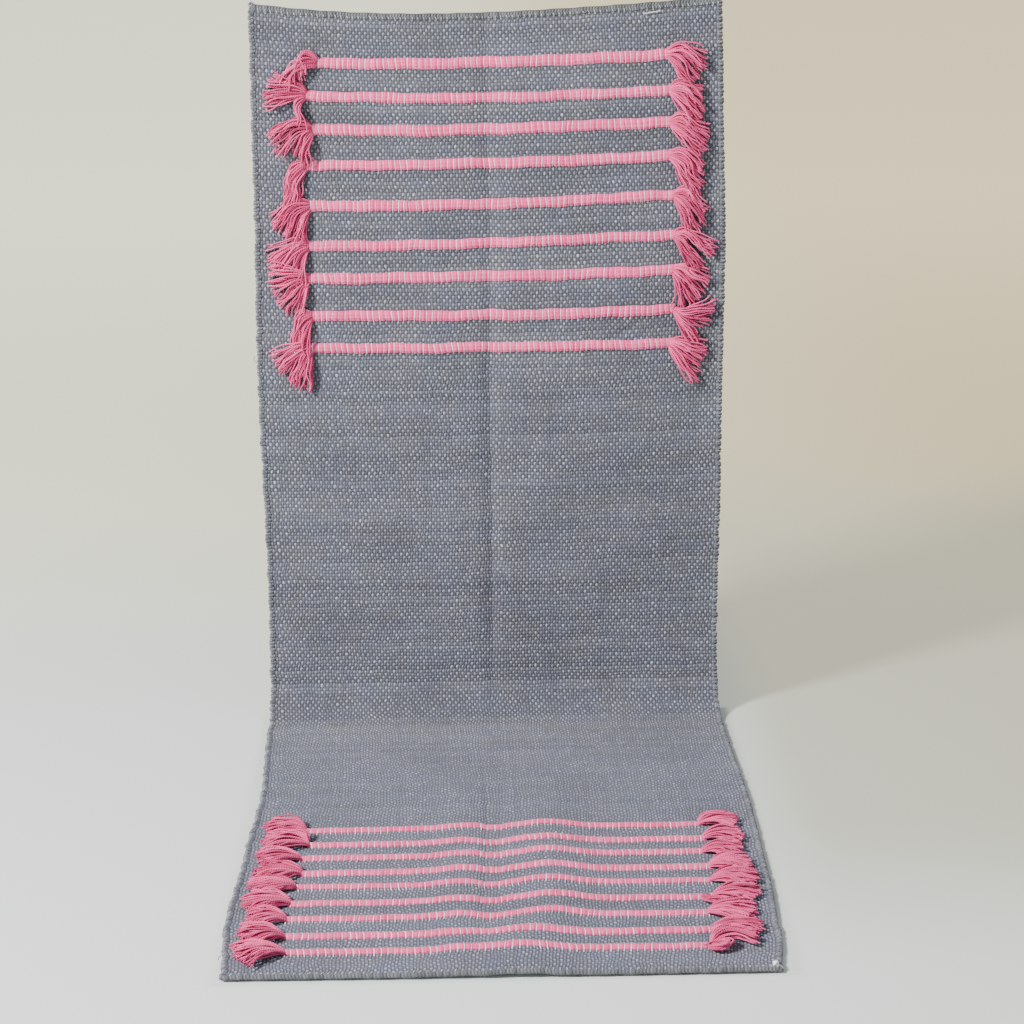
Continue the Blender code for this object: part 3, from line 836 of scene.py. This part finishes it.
def strand_paths(u_root, v_root, side, shape, random):
    """Middle lines of a tassel's strands, which leave the bundle side by side and turn with their lock."""
    stand, turn_by, *locks = shape
    share = np.linspace(0, 1, STRAND_STEPS)
    turned = np.clip(share / turn_by, 0, 1)
    turned = turned * turned * (3 - 2 * turned)
    rest = FACE_HEIGHT + STRAND_RADIUS
    lines = []
    for number in range(STRANDS):
        lock = number * len(locks) // STRANDS
        within = 2 * (number * len(locks) / STRANDS - lock) - 0.8
        place = 1 - 2 * (number + 0.5) / STRANDS
        layer = random.random()
        first, last, length = locks[lock]
        first = first + 8 * within + random.normal(0, 6)
        last = last + 5 * within + random.normal(0, 7)
        step = 0.001 * length * (1 + random.normal(0, 0.035)) / (STRAND_STEPS - 1)
        sway = random.uniform(8, 24)
        wave = sway * np.sin(2 * math.pi * (share * random.uniform(0.7, 1.6) + random.random()))
        heading = np.radians(first + (last - first) * turned + wave * share)
        out = np.concatenate(([0], np.cumsum(np.cos(heading[:-1]) * step)))
        down = np.concatenate(([0], np.cumsum(np.sin(heading[:-1]) * step)))
        root_w = rest + layer * (BAND_HEIGHT - 2 * STRAND_RADIUS) * (1 - 0.7 * place**2)
        arch = 0.50 * np.sin(math.pi * share**0.8) + 0.55 * share
        body = 0.001 * stand * (0.30 + 0.70 * layer) * arch
        flutter = np.sin(2 * math.pi * (share * random.uniform(0.8, 2.0) + random.random()))
        w = np.maximum(root_w * (1 - share) + rest * share + body + 0.0008 * flutter * share, rest)
        u = side * (u_root - 0.002 + out)
        v = v_root + place * 0.0046 * (1 - 0.2 * (1 - layer)) - down
        lines.append((u, v, w))
    return np.array(lines)


def make_tassel(group, edge, number, root_u, material):
    """A bundle's free end as loose strands."""
    random = np.random.default_rng(100 * number + 10 * len(group + edge) + (group == "upper"))
    side = 1 if edge == "right" else -1
    v_root = band_line(group, number)
    v_root = v_root + float(band_wander(side * root_u, group, number))
    shape = TASSELS[f"{group}_{edge}"][number - 1]
    u, v, w = strand_paths(root_u, v_root, side, shape, random).transpose(1, 0, 2)
    ends = np.concatenate((np.ones(STRAND_STEPS - 1), [0.8]))
    thick = STRAND_RADIUS * random.uniform(0.85, 1.15, (STRANDS, 1)) * ends
    rings, flat = tube_rings(on_rug(u, v, w), thick)
    tassel = make_piece(f"strands_{group}_{edge}_{number}", rings, flat, material, "tassel_cotton")
    node = f"tassel_{group}_{edge}_{number}"
    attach(tassel, node)
    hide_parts(node)
    return tassel


# ---------------------------------------------------------------- small things
def make_knot(material):
    """The sewing thread's end, knotted at the front right corner."""
    turn = np.linspace(0, 2 * math.pi, 48)
    size = 0.0013
    u = size * np.cos(2 * turn) * (1 + 0.6 * np.cos(3 * turn))
    v = 1.2 * size * np.sin(2 * turn) * (1 + 0.6 * np.cos(3 * turn))
    w = size * np.sin(3 * turn)
    centre = (WIDTH / 2 - 0.0055, 0.0085, HEM_THICKNESS - MIDDLE_Z + 0.0010)
    path = on_rug(centre[0] + u, centre[1] + v, centre[2] + w)[None]
    rings, flat = tube_rings(path, 0.0010)
    knot = make_piece("corner_knot", rings, flat, material, "hem_cotton")
    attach(knot, "floor_part")
    return knot


def make_loose_threads(yarn, pale):
    """Three thread ends that stick out: two at the left selvedge and a pale one near the top edge."""
    share = np.linspace(0, 1, 10)
    hook_u = -WIDTH / 2 + 0.001 - 0.006 * np.sin(2.2 * share)
    high = (hook_u, 1.117 + 0.007 * share**2, SELVEDGE_RADIUS + 0.001 * share)
    low = (hook_u, 0.052 - 0.009 * share**2, SELVEDGE_RADIUS - 0.001 * share)
    on_hem = np.full(len(share), HEM_THICKNESS - MIDDLE_Z + 0.0006)
    top = (0.168 + 0.017 * share, LENGTH - 0.0125 + 0.0025 * share, on_hem)
    threads = (
        ("loose_high", "hanging_part", high, 0.00035, yarn),
        ("loose_low", "floor_part", low, 0.00035, yarn),
        ("loose_top", "hanging_part", top, 0.00045, pale),
    )
    for name, body, line, radius, material in threads:
        rings, flat = tube_rings(on_rug(*line)[None], radius)
        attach(make_piece(name, rings, flat, material, "hem_cotton"), body)


# ---------------------------------------------------------------- stage and light
FLOOR_REACH = 30.0
FLOOR_DROP = 0.0003


def floor_paint():
    """Pale paint that is warmer behind the rug and to the right, and darker to the right as painted shade. It
    glows a little, which stands in for the room's light: more to the right of the rug (glow), and hardly at
    all under the rug and in a narrow strip round it, which is a painted contact shadow."""
    c = Cotton("floor_paint", 0.75, 0.0)
    place = c.tree.nodes.new("ShaderNodeTexCoord").outputs["Object"]
    split = c.tree.nodes.new("ShaderNodeSeparateXYZ")
    c.tree.links.new(place, split.inputs[0])
    x, y = split.outputs[0], split.outputs[1]
    # both colour mixes turn warmer to the right, and darker there as painted shade
    far_tint_and_shade = c.mix(c.span(x, -0.6, 0.9), (0.86, 0.86, 0.65), (0.73, 0.62, 0.37))
    near = c.mix(c.span(x, 0.15, 0.9), (0.68, 0.73, 0.70), (0.66, 0.67, 0.53))
    colour = c.mix(c.span(y, 0.2, 1.6), near, far_tint_and_shade)
    glow = c.math("MULTIPLY", c.span(x, 0.20, 0.34), c.span(y, -0.40, 0.05))
    glow = c.math("MULTIPLY", glow, c.span(y, 0.9, 1.9, 1.0, 0.0))
    # painted contact shadow: the glow fades out under the rug and in a narrow strip round it
    clear_of_painted_shadow = c.math(
        "MAXIMUM",
        c.span(c.math("ABSOLUTE", x), 0.250, 0.268),
        c.span(c.math("ABSOLUTE", y), 0.366, 0.380),
    )
    strength = c.math("ADD", c.span(y, 0.4, 5.0, 0.26, 1.22), c.math("MULTIPLY", glow, 0.58))
    strength = c.math("MULTIPLY", strength, c.span(clear_of_painted_shadow, 0.0, 1.0, 0.15, 1.0))
    c.tree.links.new(c.mix(glow, colour, (0.70, 0.67, 0.49)), c.shader.inputs["Emission Color"])
    c.tree.links.new(strength, c.shader.inputs["Emission Strength"])
    dim = c.math("SUBTRACT", 1.0, c.math("MULTIPLY", glow, 0.68))
    return c.finish(c.scaled(colour, dim))


def make_stage():
    """A plain pale floor, just under the rug."""
    mesh = bpy.data.meshes.new("floor")
    corners = [(x * FLOOR_REACH, y * FLOOR_REACH, 0) for x, y in ((-1, -1), (1, -1), (1, 1), (-1, 1))]
    mesh.from_pydata(corners, [], [(0, 1, 2, 3)])
    floor = bpy.data.objects.new("floor", mesh)
    floor.location.z = -FLOOR_DROP
    bpy.context.scene.collection.objects.link(floor)
    mesh.materials.append(floor_paint())


def add_light(name, place, aim, size, power, colour):
    """A round lamp of the given size in metres and power in watts, turned towards a point."""
    data = bpy.data.lights.new(name, "AREA")
    data.shape = "DISK"
    data.size = size
    data.energy = power
    data.color = colour
    light = bpy.data.objects.new(name, data)
    bpy.context.scene.collection.objects.link(light)
    light.location = place
    direction = Vector(aim) - light.location
    light.rotation_mode = "QUATERNION"
    light.rotation_quaternion = direction.to_track_quat("-Z", "Y")


def make_light():
    """A soft light from the upper left in front, a wide weak one from the right, and pale surroundings."""
    add_light("key", (-2.75, -2.0, 2.55), (0, 0.2, 0.35), 0.8, 415, (1.0, 0.985, 0.96))
    add_light("fill", (2.8, -3.0, 1.6), (0, 0.2, 0.4), 3.0, 32, (0.96, 0.98, 1.0))
    world = bpy.data.worlds.new("surroundings")
    world.use_nodes = True
    background = world.node_tree.nodes["Background"]
    background.inputs["Color"].default_value = (0.93, 0.96, 1.0, 1)
    background.inputs["Strength"].default_value = 0.45
    bpy.context.scene.world = world


# ---------------------------------------------------------------- build
make_camera()
make_stage()
make_light()

weave = weave_cotton()
selvedge = yarn_cotton("selvedge_yarn", (0.062, 0.066, 0.082), (0.215, 0.220, 0.250), 260.0, depth=0.35)
hem_material = hem_cotton()
stitch = yarn_cotton("sewing_thread", (0.24, 0.25, 0.26), (0.62, 0.63, 0.62), 500.0)
pale_thread = yarn_cotton("pale_thread", (0.70, 0.71, 0.70), (0.92, 0.93, 0.92), 300.0)
bundle = bundle_cotton()
tie = yarn_cotton("tie_thread", (0.70, 0.52, 0.58), (0.92, 0.80, 0.83), 500.0, depth=0.12)
# tassel strands range from light to very dark: partly the yarn's own uneven tone, partly painted shade for
# the gaps between strands
strand = yarn_cotton("tassel_yarn", (0.300, 0.008, 0.048), (1.000, 0.122, 0.350), 420.0, depth=0.36)

cloths = make_cloth(weave, selvedge)
front_hem = make_hem("front_roll", 0.0, HEM_WIDTH, "floor_part", -1, hem_material)
top_hem = make_hem("top_roll", LENGTH - HEM_WIDTH, LENGTH, "hanging_part", 1, hem_material)
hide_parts("front_hem")
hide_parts("top_hem")
make_stitches("front_stitches", SEAM, "floor_part", 1, stitch)
make_stitches("top_stitches", LENGTH - SEAM, "hanging_part", -1, stitch)
make_knot(pale_thread)
make_loose_threads(selvedge, pale_thread)
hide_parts("floor_cloth")
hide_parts("bend_cloth_low")
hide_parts("bend_cloth_high")
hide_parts("hanging_cloth")

GROUPS = (
    ("upper", "hanging_part", UPPER_LEFT_ENDS, UPPER_RIGHT_ENDS),
    ("lower", "floor_part", LOWER_LEFT_ENDS, LOWER_RIGHT_ENDS),
)
for group, body, left_ends, right_ends in GROUPS:
    for number, (left, right) in enumerate(zip(left_ends, right_ends), 1):
        make_band(group, number, body, left, right, bundle)
        make_ties(group, number, body, left, right, tie)
        make_tassel(group, "left", number, left, strand)
        make_tassel(group, "right", number, right, strand)
